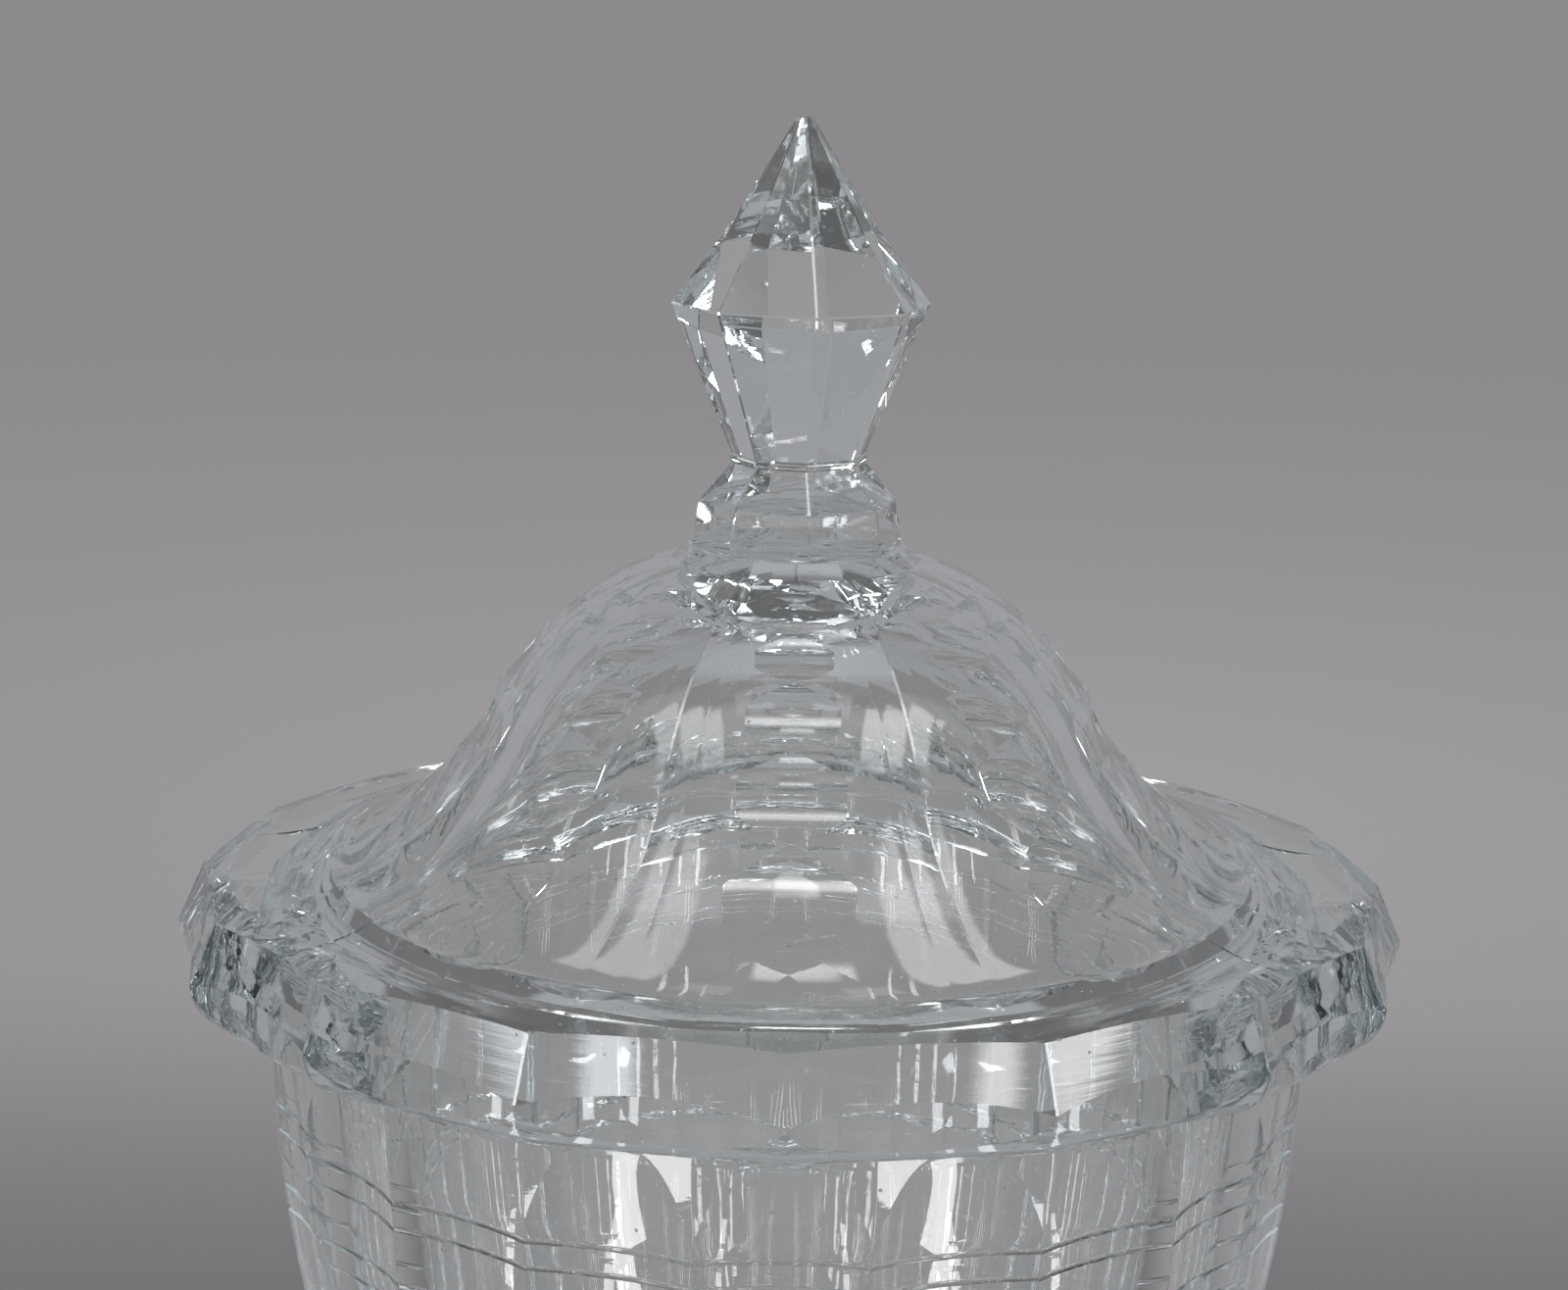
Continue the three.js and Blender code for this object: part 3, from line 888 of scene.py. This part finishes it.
def make_bowl(glass):
    bowl = bowl_blank()
    for turns, kind in alternate(BOWL_FLUTES):
        carve(bowl, spread("flutes", flute_shape(), turns, kind), "DIFFERENCE")
    carve(bowl, bowl_hollow(), "DIFFERENCE")
    carve(bowl, stem(), "UNION")
    carve(bowl, foot(), "UNION")
    carve(bowl, foot_recess(), "DIFFERENCE")
    finish_surface(bowl, glass)
    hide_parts("bowl", "bowl_collar", "stem_knop", "foot_collar", "foot")
    return bowl


# Nodes


def maths(nodes, links, operation, *values):
    """A Math node fed by numbers or sockets."""
    node = nodes.new("ShaderNodeMath")
    node.operation = operation
    for socket, value in zip(node.inputs, values):
        if isinstance(value, (int, float)):
            socket.default_value = value
        else:
            links.new(value, socket)
    return node.outputs[0]


def faded(nodes, links, value, start, end, low=0, high=1, course="SMOOTHSTEP"):
    """A value as low up to the start, high from the end on, and a fade between them."""
    fade = nodes.new("ShaderNodeMapRange")
    fade.interpolation_type = course
    fade.inputs["From Min"].default_value = start
    fade.inputs["From Max"].default_value = end
    fade.inputs["To Min"].default_value = low
    fade.inputs["To Max"].default_value = high
    links.new(value, fade.inputs["Value"])
    return fade.outputs["Result"]


def blended(nodes, links, share, first, second):
    """A mix of two colours, of which the first may come from another node."""
    blend = nodes.new("ShaderNodeMix")
    blend.data_type = "RGBA"
    blend.inputs["B"].default_value = (*second, 1)
    if isinstance(first, tuple):
        blend.inputs["A"].default_value = (*first, 1)
    else:
        links.new(first, blend.inputs["A"])
    links.new(share, blend.inputs["Factor"])
    return blend.outputs["Result"]


def waves(nodes, links, place, scale, detail):
    """Noise over the object, with a scale along each axis."""
    stretch = nodes.new("ShaderNodeMapping")
    stretch.inputs["Scale"].default_value = scale
    noise = nodes.new("ShaderNodeTexNoise")
    noise.inputs["Scale"].default_value = 1
    noise.inputs["Detail"].default_value = detail
    links.new(place.outputs["Object"], stretch.inputs["Vector"])
    links.new(stretch.outputs["Vector"], noise.inputs["Vector"])
    return noise.outputs["Fac"]


# Materials


def new_material(name):
    material = bpy.data.materials.new(name)
    material.use_nodes = True
    return material, material.node_tree.nodes, material.node_tree.links


def crystal():
    """Clear glass, rippled where it is blown and faintly marked where it is cut."""
    material, nodes, links = new_material("crystal")
    shader = nodes["Principled BSDF"]
    shader.inputs["Base Color"].default_value = GLASS_COLOUR
    shader.inputs["Transmission Weight"].default_value = 1.0
    shader.inputs["IOR"].default_value = GLASS_IOR
    tint = nodes.new("ShaderNodeVolumeAbsorption")
    tint.inputs["Color"].default_value = GLASS_TINT
    tint.inputs["Density"].default_value = GLASS_DEPTH
    links.new(tint.outputs["Volume"], nodes["Material Output"].inputs["Volume"])
    place = nodes.new("ShaderNodeTexCoord")
    specks = nodes.new("ShaderNodeTexVoronoi")
    specks.inputs["Scale"].default_value = SPECK_SCALE
    links.new(place.outputs["Object"], specks.inputs["Vector"])
    edges = (SPECK_CORE, SPECK_EDGE, SPECK_ROUGHNESS, GLASS_ROUGHNESS)
    dusty = faded(nodes, links, specks.outputs["Distance"], *edges, course="LINEAR")
    links.new(dusty, shader.inputs["Roughness"])
    blown = nodes.new("ShaderNodeAttribute")
    blown.attribute_name = "blown"
    ripple = waves(nodes, links, place, RIPPLE_SCALE, RIPPLE_DETAIL)
    polish = waves(nodes, links, place, POLISH_SCALE, POLISH_DETAIL)
    only_blown = maths(nodes, links, "MULTIPLY", ripple, blown.outputs["Fac"])
    only_cut = faded(nodes, links, blown.outputs["Fac"], 0, 1, POLISH_SHARE, 0, "LINEAR")
    bump = nodes.new("ShaderNodeBump")
    bump.inputs["Distance"].default_value = RIPPLE_DEPTH
    height = maths(nodes, links, "MULTIPLY_ADD", polish, only_cut, only_blown)
    links.new(height, bump.inputs["Height"])
    links.new(bump.outputs["Normal"], shader.inputs["Normal"])
    return material


def floor_material():
    """Grey paper, paler in a wide pool of light behind the object.

    The camera sees it darker close to the object. The glass shows it darker in front of
    the object, and lit under the foot.
    """
    material, nodes, links = new_material("floor_paper")
    shader = nodes["Principled BSDF"]
    shader.inputs["Roughness"].default_value = PAPER_ROUGHNESS
    shader.inputs["Specular IOR Level"].default_value = 0
    path = nodes.new("ShaderNodeLightPath")
    by_camera = path.outputs["Is Camera Ray"]
    by_glass = maths(nodes, links, "SUBTRACT", 1, by_camera)
    place = nodes.new("ShaderNodeTexCoord")
    split = nodes.new("ShaderNodeSeparateXYZ")
    links.new(place.outputs["Object"], split.inputs["Vector"])
    pool = nodes.new("ShaderNodeMapping")
    pool.inputs["Location"].default_value = (POOL_SHIFT, -POOL_DISTANCE / POOL_DEPTH, 0)
    pool.inputs["Scale"].default_value = (1 / POOL_WIDTH, 1 / POOL_DEPTH, 1)
    fall = nodes.new("ShaderNodeTexGradient")
    fall.gradient_type = "QUADRATIC_SPHERE"
    links.new(place.outputs["Object"], pool.inputs["Vector"])
    links.new(pool.outputs["Vector"], fall.inputs["Vector"])
    colour = blended(nodes, links, fall.outputs["Fac"], PAPER, PAPER_POOL)
    near = faded(nodes, links, split.outputs["Y"], NEAR_START, NEAR_END)
    near = maths(nodes, links, "MULTIPLY", near, by_camera)
    colour = blended(nodes, links, near, colour, PAPER_NEAR)
    reach = (FRONT_REACH, -FRONT_REACH)
    front = faded(nodes, links, split.outputs["Y"], *reach, course="LINEAR")
    front = maths(nodes, links, "MULTIPLY", front, by_glass)
    colour = blended(nodes, links, front, colour, FRONT_FLOOR)
    links.new(colour, shader.inputs["Base Color"])
    distance = nodes.new("ShaderNodeVectorMath")
    distance.operation = "LENGTH"
    links.new(place.outputs["Object"], distance.inputs["Vector"])
    under = faded(nodes, links, distance.outputs["Value"], GLOW_END, GLOW_RADIUS, 0, FOOT_GLOW)
    glow = maths(nodes, links, "MULTIPLY", under, by_glass)
    shader.inputs["Emission Color"].default_value = (1, 1, 1, 1)
    links.new(glow, shader.inputs["Emission Strength"])
    return material


# Stage


def make_floor():
    work = bmesh.new()
    bmesh.ops.create_circle(work, cap_ends=True, radius=FLOOR_RADIUS, segments=FLOOR_SIDES)
    mesh = bpy.data.meshes.new("floor")
    work.to_mesh(mesh)
    work.free()
    mesh.materials.append(floor_material())
    floor = bpy.data.objects.new("floor", mesh)
    bpy.context.scene.collection.objects.link(floor)


def window_light(nodes, links, side, rise):
    """What the glass meets in each direction: the dark room with its windows."""
    light = ROOM
    for side_middle, rise_middle, width, height, colour, softness in WINDOWS:
        off_side = maths(nodes, links, "SUBTRACT", side, side_middle)
        off_side = maths(nodes, links, "ABSOLUTE", off_side)
        off_rise = maths(nodes, links, "SUBTRACT", rise, rise_middle)
        off_rise = maths(nodes, links, "ABSOLUTE", off_rise)
        ends = ((width + softness) / 2, (width - softness) / 2)
        across = faded(nodes, links, off_side, *ends)
        ends = ((height + RISE_FADE) / 2, (height - RISE_FADE) / 2)
        upright = faded(nodes, links, off_rise, *ends)
        share = maths(nodes, links, "MULTIPLY", across, upright)
        light = blended(nodes, links, share, light, colour)
    return light


def plain_light(nodes, colour):
    background = nodes.new("ShaderNodeBackground")
    background.inputs["Color"].default_value = (*colour, 1)
    return background.outputs["Background"]


def chosen(nodes, links, share, otherwise, light):
    """The light where the share is 1, and the other where it is 0."""
    mix = nodes.new("ShaderNodeMixShader")
    links.new(share, mix.inputs["Fac"])
    links.new(otherwise, mix.inputs[1])
    links.new(light, mix.inputs[2])
    return mix.outputs["Shader"]


def make_room():
    """Plain white light, paper for the camera, and a room with windows for the glass."""
    world = bpy.data.worlds.new("studio")
    world.use_nodes = True
    nodes, links = world.node_tree.nodes, world.node_tree.links
    place = nodes.new("ShaderNodeTexCoord")
    split = nodes.new("ShaderNodeSeparateXYZ")
    links.new(place.outputs["Generated"], split.inputs["Vector"])
    rise = maths(nodes, links, "ARCTAN2", split.outputs["Z"], split.outputs["Y"])
    rise = maths(nodes, links, "MULTIPLY", rise, 180 / math.pi)
    room = nodes["Background"]
    light = window_light(nodes, links, split.outputs["X"], rise)
    links.new(light, room.inputs["Color"])
    path = nodes.new("ShaderNodeLightPath")
    mirrored = path.outputs["Is Glossy Ray"]
    passed = path.outputs["Is Transmission Ray"]
    from_glass = maths(nodes, links, "MAXIMUM", mirrored, passed)
    white = plain_light(nodes, (1, 1, 1))
    lit = chosen(nodes, links, from_glass, white, room.outputs["Background"])
    paper = plain_light(nodes, PAPER)
    shown = chosen(nodes, links, path.outputs["Is Camera Ray"], lit, paper)
    links.new(shown, nodes["World Output"].inputs["Surface"])
    bpy.context.scene.world = world


def make_low_lamps():
    for side in (-1, 1):
        lamp = bpy.data.lights.new("low_lamp", "AREA")
        lamp.shape = "RECTANGLE"
        lamp.size = LOW_LAMP_WIDTH
        lamp.size_y = LOW_LAMP_LENGTH
        lamp.energy = LOW_LAMP_POWER
        holder = bpy.data.objects.new("low_lamp", lamp)
        holder.location = (side * LOW_LAMP_SIDE, -LOW_LAMP_FRONT, LOW_LAMP_HEIGHT)
        holder.rotation_euler = (math.pi, 0, side * LOW_LAMP_TURN)
        holder.visible_camera = False
        bpy.context.scene.collection.objects.link(holder)


def make_camera():
    camera = bpy.data.cameras.new("camera")
    camera.sensor_width = SENSOR_WIDTH
    camera.lens = FOCAL_PIXELS / IMAGE_WIDTH * camera.sensor_width
    camera.clip_start = CLIP_START
    holder = bpy.data.objects.new("camera", camera)
    rim = MOUTH_HEIGHT + RIM_UNDERSIDE
    turn = Matrix.Rotation(-CAMERA_YAW, 4, "Z")
    tilt = Matrix.Rotation(math.pi / 2 - CAMERA_TILT, 4, "X")
    roll = Matrix.Rotation(CAMERA_ROLL, 4, "Z")
    place = Matrix.Translation((0, -CAMERA_DISTANCE, rim + CAMERA_RISE))
    holder.matrix_world = place @ turn @ tilt @ roll
    bpy.context.scene.collection.objects.link(holder)
    bpy.context.scene.camera = holder


glass = crystal()
lid = make_lid(glass)
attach(lid, "lid")
bowl = make_bowl(glass)
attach(bowl, "base")
make_floor()
make_room()
make_low_lamps()
make_camera()
bpy.context.scene.view_settings.view_transform = "Standard"
bpy.context.scene.cycles.max_bounces = GLASS_BOUNCES
bpy.context.scene.cycles.transmission_bounces = GLASS_BOUNCES
bpy.context.scene.cycles.glossy_bounces = MIRROR_BOUNCES
